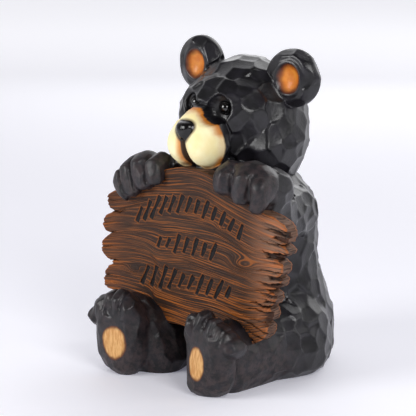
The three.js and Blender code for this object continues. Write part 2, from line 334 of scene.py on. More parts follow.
# Hollows: the middle and the three radii of each. The ears' are painted, and so are the soles' pads, which
# have the X and Z of their middle, two radii and a turn.
tilt = bear["headTilt"]
earCups = [([side * 57 + 3, -20, 285 - tilt * side * 57], [14, 11, 16.5]) for side in (1, -1)]
eyeHollows = [([side * 19, -66, 256 - tilt * side * 19], [12.5, 14, 13.5]) for side in (1, -1)]
pads = [(-54, 32, 14.2, 17, bear["toeIn"]), (49, 32, 10.8, 16.5, -bear["toeIn"])]
soleFront = -134         # Y of the soles


# Grooves between fingers, between toes and down the mouth, in figure units: the least and most Y of each
# group, and for each groove X and Z at both ends, the half width and the depth.
grooves = [
    (-120, -84, [
        [56.5, 204, 58, 178, 1.6, 2.2], [78, 202, 77, 174, 1.6, 2.2], [-50, 207, -44, 182, 1.5, 2.8],
        [-69, 202, -58.5, 174, 1.5, 2.8], [-81, 192, -71, 168, 1.5, 2.4],
    ]),
    (-140, -104, [
        [42.5, 84, 43, 64, 1.5, 1.3], [54.5, 86, 54, 66, 1.5, 1.5], [67, 84, 65, 62, 1.5, 1.5],
        [78, 76, 74, 54, 1.5, 1.2], [-50, 84, -50, 66, 1.5, 1.2], [-61.5, 88, -60, 66, 1.5, 1.5],
        [-73, 84, -71, 62, 1.5, 1.5], [-84, 74, -81, 54, 1.5, 1.2],
    ]),
    (-110, -66, [[-0.5, 228, -2, 196, 1.4, 3.0]]),
]


# How deep the grooves cut: the depth times exp(-(distance from the groove's line / half width)^2), and the
# deepest of them where they meet.
def grooveDepth(points):
    x, y, z = (points / unit).T
    depth = np.zeros(len(points))
    for low, high, group in grooves:
        for ax, az, bx, bz, wide, deep in group:
            stepX, stepZ = bx - ax, bz - az
            t = np.clip(((x - ax) * stepX + (z - az) * stepZ) / (stepX ** 2 + stepZ ** 2), 0, 1)
            away = np.hypot(x - ax - t * stepX, z - az - t * stepZ)
            depth = np.maximum(depth, deep * np.exp(-(away / wide) ** 2) * (y > low) * (y < high))
    return depth * unit


# How far behind the cream's back edge a point is: the edge is a plane that slants back above the nose.
def creamEdge(points):
    x, y, z = (points / unit).T
    return y + 0.24 * np.maximum(z - 221, 0) + 66.2


# How far a point is from each finish, in figure units, and below zero inside it. The cream reaches 1.5 past
# the muzzle's balls low down and 5 high up. Away from ears and soles their gap is large.
def finishGaps(points):
    x, y, z = (points / unit).T
    muzzle = softLeast([ballGap(points, *one) for one in muzzleBalls[:3]], 1.0)
    muzzle = np.maximum(muzzle - 1.5 - 3.5 * ease(214, 226, z), creamEdge(points))
    nose = softLeast([ballGap(points, *one) for one in noseBalls], 1.6) + 0.4
    large = 99.0
    cups, foot = np.full(len(points), large), np.full(len(points), large)
    for at, radii in earCups:
        share = np.hypot((x - at[0]) / radii[0], (z - at[2]) / radii[2])
        onEar = (y < -4) & (ballGap(points, *crown) > 1.5)
        cups = np.minimum(cups, np.where(onEar, (share - 1) * 15, large))
    for padX, padZ, wide, tall, turn in pads:
        along = (x - padX) * math.cos(turn) + (y - soleFront) * math.sin(turn)
        share = np.hypot(along / wide, (z - padZ) / tall)
        foot = np.minimum(foot, np.where(y < -118, (share - 1) * 14, large))
    return muzzle, nose, cups, foot


cuts = {
    "size": 0.0150,  # from the middle of a cut to the next, in metres
    "headSize": 0.96, "bodySize": 0.9, "smallSize": 0.8,  # factors on it, the last for feet and hands
    "tilt": 0.060,  # how far a cut strays from the form's own slope
    "scoop": 4.2,  # how hollow a cut is, per metre
    "edge": 3.0e-5,  # softness of the ridges, square metres
    "most": 0.0022,  # no cut moves the skin more than this
    "seed": 7,
    "sample": 36000,  # the most points from which the cuts' middles are picked
    "headFrom": 0.20,  # height of the chin
    "bodyUpright": 2.2, "headUpright": 0.6,  # how strongly the cuts run upwards
    "headScoop": 0.8,  # the head's cuts are less hollow, by this factor
    "uneven": 0.7,  # how unlike in size the cuts are
    "slimLeast": 0.3, "slimMore": 1.3,  # how much slimmer than long the cuts are
    "crease": 4e-4,  # how strongly a cut keeps to skin that faces its way, square metres
    "facing": 0.3,  # least share of a cut's slope along the skin's normal
    "batch": 3000,  # points worked on at a time
}


# Seeds over a cloud: each next one is the point farthest from those picked, counted in its own spacing.
def spreadSeeds(points, spacing):
    far = np.full(len(points), 1e9)
    picked, current = [], 0
    while True:
        picked.append(current)
        far = np.minimum(far, np.linalg.norm(points - points[current], axis=1) / spacing)
        current = int(far.argmax())
        if far[current] < 1:
            return np.array(picked)


# Flat, slightly hollow cuts. A point p with normal n moves along n by the weighted mean over the cuts of
# ((s - p).m) / (n.m) + scoop |p - s|^2 - sink, where s and m are a cut's middle and slope. A cut's weight
# is exp(-(|p - s|^2 + slim a^2 + bias + crease (1 - n.k)) / edge), where a is how far p is from s along the
# cut's short way and k is the skin's normal at s.
def facetShift(points, normals, size, weight):
    chooser = np.random.default_rng(cuts["seed"])
    sample = chooser.permutation(np.flatnonzero(weight > 0.05))[:cuts["sample"]]
    seeds = sample[spreadSeeds(points[sample], size[sample])]
    middle = points[seeds]
    slope = normals[seeds] + cuts["tilt"] * chooser.normal(size=(len(seeds), 3))
    slope /= np.linalg.norm(slope, axis=1)[:, None]
    upright = np.where(middle[:, 2] < cuts["headFrom"], cuts["bodyUpright"], cuts["headUpright"])
    shortWay = np.cross(slope, chooser.normal(size=slope.shape) + upright[:, None] * [0, 0, 1])
    shortWay /= np.linalg.norm(shortWay, axis=1)[:, None]
    spacing = size[seeds]
    bias = (chooser.random(len(seeds)) - 0.5) * cuts["uneven"] * spacing ** 2
    slim = cuts["slimLeast"] + cuts["slimMore"] * chooser.random(len(seeds))
    scoop = cuts["scoop"] * np.where(middle[:, 2] > cuts["headFrom"], cuts["headScoop"], 1.0)
    sink = 0.5 * scoop * (0.5 * spacing) ** 2
    f = np.float32
    moved = np.zeros(len(points))
    for start in range(0, len(points), cuts["batch"]):
        some = slice(start, start + cuts["batch"])
        p, n = points[some].astype(f), normals[some].astype(f)
        gap = (p ** 2).sum(1)[:, None] + (middle ** 2).sum(1).astype(f) - 2 * p @ middle.T.astype(f)
        along = p @ shortWay.T.astype(f) - (middle * shortWay).sum(1).astype(f)
        facing = np.maximum(n @ slope.T.astype(f), f(cuts["facing"]))
        crease = f(cuts["crease"]) * (1 - n @ normals[seeds].T.astype(f))
        score = gap + slim.astype(f) * along ** 2 + bias.astype(f) + crease
        share = np.exp(-(score - score.min(1)[:, None]) / f(cuts["edge"]))
        reach = ((middle * slope).sum(1).astype(f) - p @ slope.T.astype(f)) / facing
        reach = reach + scoop.astype(f) * gap - sink.astype(f)
        reach = np.clip(reach, -cuts["most"], cuts["most"])
        moved[some] = (share * reach).sum(1) / share.sum(1)
    print("cuts:", len(seeds))
    return moved * weight


# How far a point is from the nearer eye bead's skin, in figure units.
def eyeAway(points):
    gaps = []
    for node in ("eye_left", "eye_right"):
        low, high = (np.array(corner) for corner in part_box(node))
        gaps.append(np.linalg.norm(points - (low + high) / 2, axis=1) - (high[2] - low[2]) / 2)
    return np.minimum(*gaps) / unit


# 1 on the hands, 0 elsewhere.
def handShare(points):
    x, y, z = (points / unit).T
    return ease(-68, -78, y) * ease(160, 168, z) * ease(24, 32, np.abs(x)) * ease(222, 216, z)


# How much of the cuts each point takes: none on the painted parts, at the ground and at the eyes, and less
# beside the ears, on the hands and on the feet.
def cutShare(points):
    x, y, z = (points / unit).T
    muzzle, nose, cups, foot = finishGaps(points)
    share = ease(0.5, 3.5, np.minimum(np.minimum(muzzle, nose), np.minimum(cups - 1, foot - 0.5)))
    share *= ease(0.0005, 0.004, points[:, 2])
    share *= ease(2.5, 7, eyeAway(points))
    besideEar = ease(36, 42, np.abs(x)) * ease(258, 266, z)
    share *= 1 - 0.7 * besideEar * ease(7, 3, np.abs(ballGap(points, *crown)))
    feet = ease(-0.09, -0.105, points[:, 1]) * ease(0.10, 0.09, points[:, 2])
    return share * (1 - 0.6 * handShare(points) - 0.4 * feet)


# From the middle of a cut to the next: closer on the body, and closer still on feet and hands.
def cutSpacing(points):
    x, y, z = points.T
    size = cuts["size"] * np.where(z > cuts["headFrom"], cuts["headSize"], cuts["bodySize"])
    size *= np.where((y < -0.10) & (z < 0.12), cuts["smallSize"], 1.0)
    return size * np.where((np.abs(x) > 0.030) & (y < -0.062) & (z > 0.17), cuts["smallSize"], 1.0)


# How rubbed the paint is: on the hands, low down on the legs, and on the toes.
def rubShare(points):
    x, y, z = (points / unit).T
    rub = 0.45 * handShare(points)
    rub += 0.55 * ease(60, 20, z) * ease(-20, -70, y) * ease(0.2, 1, np.abs(x) / 20)
    rub += 0.3 * ease(95, 85, z) * ease(42, 52, z) * ease(-90, -106, y)
    return np.clip(rub, 0, 1)


# All forms' skins, joined into one closed mesh.
def joinedBear():
    bridge, *jowls = muzzleBalls[:3]
    muzzle = [[one] for one in muzzleBalls] + [[bridge, jowl] for jowl in jowls]
    forms = headForms() + muzzle + [noseBalls] + bodyForms()
    forms += armForms() + handForms() + legForms() + footForms()
    skins = [skinOf(form) for form in forms]
    quads, fans = roundGridFaces(*bear["grid"])
    starts = np.arange(len(skins)) * len(skins[0])
    rough = meshOf("bearSkins", np.concatenate(skins), np.concatenate([quads + s for s in starts]),
                   np.concatenate([fans + s for s in starts]))
    mesh = withModifier(rough, "REMESH", mode="VOXEL", voxel_size=bear["voxel"])
    print("bear joined:", len(mesh.vertices))
    return mesh


# Sets a mesh's points, and none of them below the ground.
def setAboveGround(mesh, points):
    points[:, 2] = np.maximum(points[:, 2], 0)
    setPoints(mesh, points)


# The bear: joined, relaxed, hollowed, and moved along its normals by cuts, grooves and eyelid rings, whose
# height is lidHeight exp(-((d - lidAway) / lidWidth)^2) at d from a bead. Then it is thinned out.
def carveBear():
    mesh = joinedBear()
    edges = rowsOf(mesh.edges, "vertices", 2, np.int32)
    points = relaxed(pointsOf(mesh), edges, bear["blend"])
    for at, radii in earCups + eyeHollows:
        points = hollowed(points, at, radii)
    points = relaxed(points, edges, 2)
    setPoints(mesh, points)
    normals = relaxed(rowsOf(mesh.vertex_normals, "vector", 3).astype(float), edges, 6)
    normals /= np.maximum(np.linalg.norm(normals, axis=1), 1e-6)[:, None]
    lids = bear["lidHeight"] * unit * np.exp(-((eyeAway(points) - bear["lidAway"]) / bear["lidWidth"]) ** 2)
    shift = facetShift(points, normals, cutSpacing(points), cutShare(points))
    shift = shift - grooveDepth(points) + lids
    setAboveGround(mesh, points + normals * shift[:, None])
    ratio = bear["triangles"] / (len(mesh.polygons) * 2)
    mesh = withModifier(mesh, "DECIMATE", ratio=min(1, ratio))
    mesh.name = "bearCarving"
    mesh.polygons.foreach_set("use_smooth", np.ones(len(mesh.polygons), bool))
    points = pointsOf(mesh)
    setAboveGround(mesh, points)
    muzzle, nose, cups, foot = finishGaps(points)
    x, _, z = (points / unit).T
    mouth = np.hypot(x + 2 + 0.06 * (226 - z), np.maximum(z - 228, 0))
    for name, values in (("muzzleGap", muzzle), ("noseGap", nose), ("cupGap", cups), ("padGap", foot),
                         ("mouthGap", mouth), ("rub", rubShare(points)), ("creamEdge", creamEdge(points)),
                         ("eyeGap", eyeAway(points)), ("mouthSide", x)):
        setNumbers(mesh, name, values)
    print("bear carved:", len(mesh.polygons), "faces")
    return mesh


plank = {
    "width": 0.256, "height": 0.182, "thickness": 0.019, "front": -88 * unit, "top": 200 * unit,
    "columns": 313, "rows": 217, "wall": 8,  # odd counts, since the back has half as many
    "crowd": 0.3,  # how much closer the columns are at the torn ends
    "rim": 0.0012, "endRim": 0.0016, "strokeDepth": 0.0016, "strokeWidth": 0.0052,
    "ragged": 0.0013,  # how far the torn ends stray from their outline
    "strand": 0.0040,  # height of a strand of the torn wood
    "strands": 400,  # how many strands are drawn before they repeat
    "strandSink": 0.0016, "strandHollow": 0.0009,  # their most depths
    "wholeShare": 0.55, "brokenLeast": 0.002, "brokenMost": 0.011, "brokenDepth": 0.0042,
    "backIn": 0.0004, "thinnest": 0.004,  # how far the back lies in, and the least thickness
    "edgeSteps": 14, "lobeSteps": 8,  # points between two of the outline's
    "strokeLean": 0.42, "leanStray": 0.16,  # radians
    "splitRoot": 0.0003,  # half width of a split where it dies out
}
# The outline, as shares of half the width and of the height.
topEdge = [
    [-.84, .795], [-.5, .915], [-.17, .99], [.02, 1], [.2, .985], [.45, .91], [.7, .825], [.86, .796],
    [.96, .767],
]
bottomEdge = [
    [.7, .065], [.5, 0], [.2, .045], [-.08, .066], [-.27, .066], [-.35, .082], [-.4, .165], [-.62, .195],
    [-.867, .189],
]
rightLobes = [
    [[.96, .767], [.99, .74], [1, .7], [.985, .66]], [[.93, .65], [.985, .63], [1, .605], [.95, .58]],
    [[.87, .565], [.945, .54], [.95, .5], [.92, .475]], [[.9, .465], [.93, .45], [.92, .41], [.87, .395]],
    [[.8, .385], [.87, .365], [.885, .335], [.85, .3]], [[.82, .28], [.85, .26], [.84, .22], [.8, .2]],
    [[.76, .19], [.815, .165], [.79, .11], [.7, .065]],
]
leftLobes = [
    [[-.867, .189], [-.945, .2], [-.965, .26], [-.93, .32], [-.863, .355]],
    [[-.87, .368], [-.96, .395], [-.99, .45], [-.95, .505], [-.89, .53]],
    [[-.9, .54], [-.94, .55], [-.97, .59], [-.94, .635], [-.88, .66]],
    [[-.86, .675], [-.89, .695], [-.915, .745], [-.89, .78], [-.84, .795]],
]
# Splits: share across and up at the outer end and at the inner end, half width and depth in millimetres.
splits = [
    [1.101, .687, .77, .735, 2.0, 9], [1.02, .588, .74, .597, 2.2, 9], [.96, .418, .69, .414, 1.8, 8],
    [.83, .283, .62, .297, 1.5, 7], [.9, .254, .6, .256, 1.3, 7], [1.06, .602, .9, .6, 1.3, 7],
    [.77, .093, .38, .19, .9, 4], [.828, .13, .45, .2, 1.0, 5], [.7, .055, .5, .178, .9, 4],
    [.8, .18, .5, .22, .8, 3], [1.051, .77, .8, .81, 1.0, 4], [1.037, .546, .66, .527, .8, 3],
    [1.018, .5, .62, .478, 1.0, 4], [.982, .366, .7, .366, 1.0, 5], [.9, .386, .5, .349, .6, 2],
    [.95, .33, .7, .33, .8, 3], [1.0, .72, .72, .76, .7, 2.5], [.98, .64, .7, .66, .9, 4],
    [.72, .03, .56, .1, .8, 3], [.66, .02, .48, .09, .7, 3],
    [-1.02, .672, -.7, .684, 1.6, 7], [-1.02, .532, -.79, .548, 1.5, 6], [-1, .36, -.76, .38, 1.5, 6],
    [-.98, .6, -.72, .61, .6, 2], [-.98, .45, -.7, .46, .7, 2.5], [-.98, .27, -.74, .28, .7, 2.5],
    [-.95, .74, -.7, .75, .7, 2.5], [-.96, .235, -.78, .24, .6, 2],
]
# Rows of strokes: middle and height of the row, its half width and sag, a stroke's height, and their count.
strokeRows = [
    (0, .79, .54, .105, .175, 13), (-.03, .55, .29, .01, .14, 7), (-.03, .335, .45, .01, .165, 10),
]


# Shares of half the plank's width and of its height, in metres.
def plankPlace(shares):
    shares = np.asarray(shares, float)
    across = shares[..., 0] * plank["width"] / 2
    rise = plank["top"] - (1 - shares[..., 1]) * plank["height"]
    return np.stack([across, rise], -1)


# A smooth curve through points: on each span the cubic whose slope at a point is half the step past it.
def curveThrough(shares, steps):
    p = plankPlace(shares)
    p = np.concatenate([[2 * p[0] - p[1]], p, [2 * p[-1] - p[-2]]])
    t = np.linspace(0, 1, steps, endpoint=False)[:, None]
    spans = []
    for a, b, c, d in zip(p, p[1:], p[2:], p[3:]):
        bend, twist = 2 * a - 5 * b + 4 * c - d, 3 * b - a - 3 * c + d
        spans.append(0.5 * (2 * b + (c - a) * t + bend * t ** 2 + twist * t ** 3))
    return np.concatenate(spans + [p[-2:-1]])


# A line's points at given shares of its own length.
def evenPoints(line, shares):
    length = np.concatenate([[0], np.cumsum(np.linalg.norm(np.diff(line, axis=0), axis=1))])
    steps = length[-1] * shares
    return np.stack([np.interp(steps, length, line[:, k]) for k in (0, 1)], -1)


# Distance from each point to the nearest part of a line.
def lineGap(points, line):
    gap = np.full(len(points), 9.0)
    for start, end in zip(line[:-1], line[1:]):
        step = end - start
        t = np.clip(((points - start) @ step) / max(step @ step, 1e-12), 0, 1)
        gap = np.minimum(gap, np.linalg.norm(points - start - t[:, None] * step, axis=1))
    return gap


# The strokes' own places: each one's middle, half length and lean.
def strokePlaces():
    places = []
    for middle, level, half, sag, tall, count in strokeRows:
        for i in range(count):
            share = 2 * i / (count - 1) - 1
            long = tall * plank["height"] * (0.72 + 0.5 * uneven(i, count))
            lean = plank["strokeLean"] + plank["leanStray"] * uneven(i, count + 1)
            at = plankPlace([middle + half * share, level - sag * share * share])
            places.append((at, long / 2, lean))
    return places


# Distance to the nearest stroke's edge, below zero inside: the box distance max(|across| - w, |along| - l).
def strokeGap(points):
    gap = np.full(len(points), 1.0)
    width = plank["strokeWidth"] / 2
    for at, half, lean in strokePlaces():
        own = points - at
        along = own[:, 0] * math.sin(lean) + own[:, 1] * math.cos(lean)
        across = own[:, 0] * math.cos(lean) - own[:, 1] * math.sin(lean)
        wide = width * (1 + 0.18 * np.sin(along * 260 + 40 * at[0]))
        gap = np.minimum(gap, np.maximum(np.abs(across) - wide, np.abs(along) - half))
    return gap


# How deep the splits cut: a V across each one, whose width and depth die out towards its inner end.
def splitDepthAt(points):
    depth = np.zeros(len(points))
    for fromX, fromZ, toX, toZ, half, deep in splits:
        outer, inner = plankPlace([fromX, fromZ]), plankPlace([toX, toZ])
        way = inner - outer
        long = np.linalg.norm(way)
        way = way / long
        own = points - outer
        along = own @ way / long
        wander = 0.0009 * np.sin(along * 9 + 30 * fromZ) + 0.0004 * np.sin(along * 31 + 50 * fromZ)
        across = own[:, 0] * -way[1] + own[:, 1] * way[0] + wander
        left = np.clip(1 - along, 0, 1)
        wide = half * 0.001 * left ** 0.6 + plank["splitRoot"]
        shape = np.clip(1 - np.abs(across) / wide, 0, 1) * (along < 1)
        depth = np.maximum(depth, deep * 0.001 * left ** 0.5 * shape ** 0.7)
    return depth


# Knots: share across and up, and half height in metres.
knots = [(.56, .50, .0062), (-.6, .345, .0042), (.2, .13, .004), (.36, .69, .003)]


# The grain's flow: each line keeps its share of the way from the bottom edge to the top one, and a knot
# lifts the flow by 2.2 r exp(-(dx / 2.4 r)^2 - (dz / r)^2), which closes the lines into rings round it.
def grainFlow(points, share):
    own = 0.6 * share * plank["height"] + 0.4 * (points[:, 1] - plankPlace([0, 0])[1])
    flow = own + 0.0022 * np.sin(points[:, 0] * 34 + 1 + own * 20)
    flow = flow + 0.0008 * np.sin(points[:, 0] * 83 + own * 60)
    for x, z, radius in knots:
        away = (points - plankPlace([x, z])) / [2.4 * radius, radius]
        flow = flow + 2.2 * radius * np.exp(-(away ** 2).sum(1))
    return flow


# A torn end: a line's points move along the grain by a jagged wave of their height, with a new random
# reach every two millimetres, that dies out at both of the line's ends.
def torn(line, seed):
    chooser = np.random.default_rng(seed)
    steps = np.arange(line[:, 1].min() - 0.002, line[:, 1].max() + 0.004, 0.0019)
    wave = np.interp(line[:, 1], steps, chooser.uniform(-1, 1, len(steps)))
    place = np.arange(len(line)) / len(line)
    wave *= plank["ragged"] * ease(0, 0.04, place) * ease(1, 0.96, place)
    return line + np.stack([wave, 0 * wave], -1)


# The strands of the torn ends, in metres: each has its own random sink and is hollowed to its edges by
# (2 t - 1)^4, and some are broken off short: they lie 4 mm deeper from the end in to their random length.
def strandDepth(flow, points, gap):
    chooser = np.random.default_rng(11)
    count = plank["strands"]
    sinks = chooser.uniform(0, plank["strandSink"], count)
    lengths = chooser.uniform(plank["brokenLeast"], plank["brokenMost"], count)
    lengths[chooser.random(count) < plank["wholeShare"]] = 0
    across = points[:, 0] / (plank["width"] / 2)
    reach = ease(0.66, 0.95, across) + 0.45 * ease(0.72, 0.98, -across)
    place = flow / plank["strand"] + 0.25 * np.sin(points[:, 0] * 120 + flow * 300) + 100
    index = np.floor(place).astype(int) % count
    part = place - np.floor(place)
    hollow = plank["strandHollow"] * (2 * part - 1) ** 4 * reach
    broken = (lengths[index] > 0) * ease(0.7, 0.82, across)
    short = plank["brokenDepth"] * (1 - ease(-0.0004, 0.0006, gap - lengths[index])) * broken
    return hollow + sinks[index] * reach, short


# Quads of a flat grid of points, seen from the side where its rows rise and its columns run to the right.
def gridFaces(index):
    return np.stack([index[:-1, :-1], index[:-1, 1:], index[1:, 1:], index[1:, :-1]], -1).reshape(-1, 4)


# Once round the rim of a grid of points: along the first row, up the last column, and back.
def rimOf(index):
    return np.concatenate([index[0], index[1:, -1], index[-1, -2::-1], index[-2:0:-1, 0]])


# The plank: a patch between its four edges, front and back, and a wall between their rims.
# The patch is the blend P(u,v) = (1-v) bottom + v top + (1-u) left + u right - the blend of the corners.
def carvePlank():
    s = plank
    columns, rows, wall = s["columns"], s["rows"], s["wall"]
    step = np.linspace(0, 1, columns)
    step = step - s["crowd"] * np.sin(2 * math.pi * step) / (2 * math.pi)
    top = evenPoints(curveThrough(topEdge, s["edgeSteps"]), step)
    bottom = evenPoints(curveThrough(bottomEdge, s["edgeSteps"]), 1 - step)
    level = np.linspace(0, 1, rows)
    right = np.concatenate([curveThrough(lobe, s["lobeSteps"]) for lobe in rightLobes])
    right = torn(evenPoints(right, 1 - level), 3)
    left = np.concatenate([curveThrough(lobe, s["lobeSteps"]) for lobe in leftLobes])
    left = torn(evenPoints(left, level), 4)
    outline = np.concatenate([top, right[::-1][1:], bottom[::-1][1:], left[1:]])
    u, v = step[None, :, None], level[:, None, None]
    flat = (1 - v) * bottom + v * top + (1 - u) * left[:, None] + u * right[:, None]
    corners = (1 - u) * (1 - v) * bottom[0] + u * (1 - v) * bottom[-1]
    flat -= corners + (1 - u) * v * top[0] + u * v * top[-1]
    flat = flat.reshape(-1, 2)
    share = np.broadcast_to(level[:, None], (rows, columns)).ravel()
    gap = lineGap(flat, outline)
    ends = ease(0.55, 0.85, np.abs(flat[:, 0]) / (s["width"] / 2))
    rim = s["rim"] + (s["endRim"] - s["rim"]) * ends
    worn = np.clip(1 - gap / rim, 0, 1)
    edge = rim * (1 - np.sqrt(1 - np.minimum(worn, 0.9999) ** 2)) * 0.8
    flow = grainFlow(flat, share)
    phase = flow * 2500 + 3 * np.sin(flat[:, 0] * 45) + 2 * np.sin(flow * 410)
    ridges = 0.00022 * np.sin(phase) * ease(0, 0.002, gap)
    stroke = strokeGap(flat)
    cut = s["strokeDepth"] * (1 - ease(-0.0009, 0.0003, stroke))
    tear = splitDepthAt(flat)
    strands, short = strandDepth(flow, flat, gap)
    front = s["front"] + edge + np.maximum(np.maximum(cut, tear), short) + strands + ridges

    # The back has every other column and row, and lies at least the least thickness behind the front.
    index = np.arange(rows * columns).reshape(rows, columns)
    kept = index[::2, ::2].ravel()
    first = rows * columns + len(kept)
    backIndex = np.arange(rows * columns, first).reshape((rows + 1) // 2, (columns + 1) // 2)
    behind = s["front"] + s["thickness"] - edge[kept] - s["backIn"] + ridges[kept] * 0.8
    behind = np.maximum(behind, front[kept] + s["thinnest"])

    # The wall's rows go from the front's rim to the back's. Each strand's end is sunk a little into it.
    ring, backRing = rimOf(index), rimOf(backIndex)
    rimFlat = flat[ring]
    way = np.roll(rimFlat, -2, 0) - np.roll(rimFlat, 2, 0)
    out = np.stack([way[:, 1], -way[:, 0]], -1)
    out /= np.maximum(np.linalg.norm(out, axis=1), 1e-9)[:, None]
    t = np.linspace(0, 1, wall + 2)[1:-1][:, None]
    sink = 0.0007 * np.sin(rimFlat[:, 1] * 1700 + 3 * t) * np.sin(rimFlat[:, 1] * 610 + 7 * t) * ends[ring]
    sink = (sink - 0.0004) * np.sin(t * math.pi) ** 0.5
    wallFlat = rimFlat[None] + out[None] * sink[..., None]
    backRim = s["front"] + s["thickness"] - edge[ring] - s["backIn"]
    wallDeep = (1 - t) * front[ring][None] + t * np.maximum(backRim, front[ring] + s["thinnest"])[None]
    points = np.concatenate([
        np.stack([flat[:, 0], front, flat[:, 1]], -1), np.stack([flat[kept, 0], behind, flat[kept, 1]], -1),
        np.stack([wallFlat[..., 0], wallDeep, wallFlat[..., 1]], -1).reshape(-1, 3),
    ])
    ladder = np.concatenate([ring[None], first + np.arange(wall * len(ring)).reshape(wall, -1)])
    after = np.roll(ladder, -1, 1)
    # The last row of the wall meets the back's rim, which has half its points, in threes of triangles.
    last, lastAfter = ladder[-1], after[-1]
    near, far = backRing, np.roll(backRing, -1)
    threes = np.concatenate([
        np.stack([last[::2], near, last[1::2]], -1), np.stack([last[1::2], near, far], -1),
        np.stack([last[1::2], far, lastAfter[1::2]], -1),
    ])
    backFaces = gridFaces(backIndex)[:, [0, 3, 2, 1]]
    mesh = meshOf("plankBoard", points, gridFaces(index), backFaces, roundQuads(ladder), threes)

    # What the paint reads, on the front, the back and the wall. The depths under tear and relief also set
    # the painted shade in the splits and between the strands.
    backNone, wallNone = np.zeros(len(kept)), np.zeros(wall * len(ring))
    wallGap = np.broadcast_to(np.minimum(t, 1 - t) * s["thickness"], (wall, len(ring))).ravel()
    deep = np.maximum(tear, 0.8 * short)
    relief = strands / 0.0012 - 0.5 * ease(0.6, 0.9, np.abs(flat[:, 0]) / (s["width"] / 2))
    for name, values in (
        ("grain", (flow, flow[kept], np.tile(rimFlat[:, 1], wall))),
        ("strokeGap", (stroke, backNone + 1, wallNone + 1)),
        ("tear", (deep, backNone, np.tile(deep[ring] * 0.4, wall))),
        ("rimGap", (gap, gap[kept], wallGap)),
        ("relief", (relief, backNone, wallNone)),
        ("onWall", (0 * gap, backNone, wallNone + 1)),
    ):
        setNumbers(mesh, name, np.concatenate(values))
    print("plank carved:", len(mesh.polygons), "faces")
    return mesh


beadGrid = (40, 64)


# A bead: its middle plus radius times each direction.
def eyeBead(name, node):
    low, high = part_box(node)
    middle, radius = (np.array(low) + np.array(high)) / 2, (high[2] - low[2]) / 2
    return meshOf(name, middle + radius * directionGrid(*beadGrid), *roundGridFaces(*beadGrid))


# A colour as seen on a screen, 0 to 255, in the renderer's linear terms.
def tone(r, g, b):
    share = [c / 255 for c in (r, g, b)]
    return tuple(c / 12.92 if c <= 0.04045 else ((c + 0.055) / 1.055) ** 2.4 for c in share) + (1.0,)


class Wire:
    # A socket among nodes, whose sums and products with others add Math nodes.
    def __init__(self, nodes, socket):
        self.nodes, self.socket = nodes, socket

    def calc(self, operation, *others):
        return self.nodes.add("ShaderNodeMath", {"operation": operation}, dict(enumerate((self,) + others)))

    def __add__(self, other):
        return self.calc("ADD", other)

    def __sub__(self, other):
        return self.calc("SUBTRACT", other)

    def __rsub__(self, other):
        return (self * -1) + other

    def __mul__(self, other):
        return self.calc("MULTIPLY", other)

    def __truediv__(self, other):
        return self.calc("DIVIDE", other)

    __radd__, __rmul__ = __add__, __mul__

    # From 0 to 1 between low and high, eased at both ends.
    def ease(self, low, high):
        settings = {"interpolation_type": "SMOOTHSTEP"}
        return self.nodes.add("ShaderNodeMapRange", settings, {0: self, 1: low, 2: high, 3: 0.0, 4: 1.0})

    def most(self, other):
        return self.calc("MAXIMUM", other)

    def least(self, other):
        return self.calc("MINIMUM", other)


class Nodes:
    # The nodes of a material or of the world.
    def __init__(self, tree):
        self.tree = tree

    # One node: its type, its settings, the values or wires of its sockets, and which output to go on from.
    def add(self, kind, settings, sockets, output=0):
        node = self.tree.nodes.new(kind)
        for key, value in settings.items():
            setattr(node, key, value)
        for key, value in sockets.items():
            if isinstance(value, Wire):
                self.tree.links.new(value.socket, node.inputs[key])
            else:
                node.inputs[key].default_value = value
        return Wire(self, node.outputs[output])


class Paint(Nodes):
    # A material under construction: its shader, and where each point of the object is.
    def __init__(self, name, roughness, **constants):
        self.material = bpy.data.materials.new(name)
        self.material.use_nodes = True
        super().__init__(self.material.node_tree)
        self.shader = self.tree.nodes["Principled BSDF"]
        self.shader.inputs["Roughness"].default_value = roughness
        for key, value in constants.items():
            self.shader.inputs[key.replace("_", " ")].default_value = value
        self.place = self.add("ShaderNodeTexCoord", {}, {}, "Object")

    def numbers(self, *names):
        return [self.add("ShaderNodeAttribute", {"attribute_name": name}, {}, "Fac") for name in names]

    def noise(self, scale, detail, vector=None, roughness=0.5):
        sockets = {"Vector": vector or self.place, "Scale": scale, "Detail": detail, "Roughness": roughness}
        return self.add("ShaderNodeTexNoise", {}, sockets)

    def mix(self, share, first, second):
        return self.add("ShaderNodeMix", {"data_type": "RGBA"}, {0: share, 6: first, 7: second}, 2)

    def bump(self, height, depth, strength):
        return self.add("ShaderNodeBump", {}, {"Height": height, "Distance": depth, "Strength": strength})

    # Links what varies over the surface to the shader.
    def finish(self, **inputs):
        for key, value in inputs.items():
            self.tree.links.new(value.socket, self.shader.inputs[key.replace("_", " ")])
        return self.material


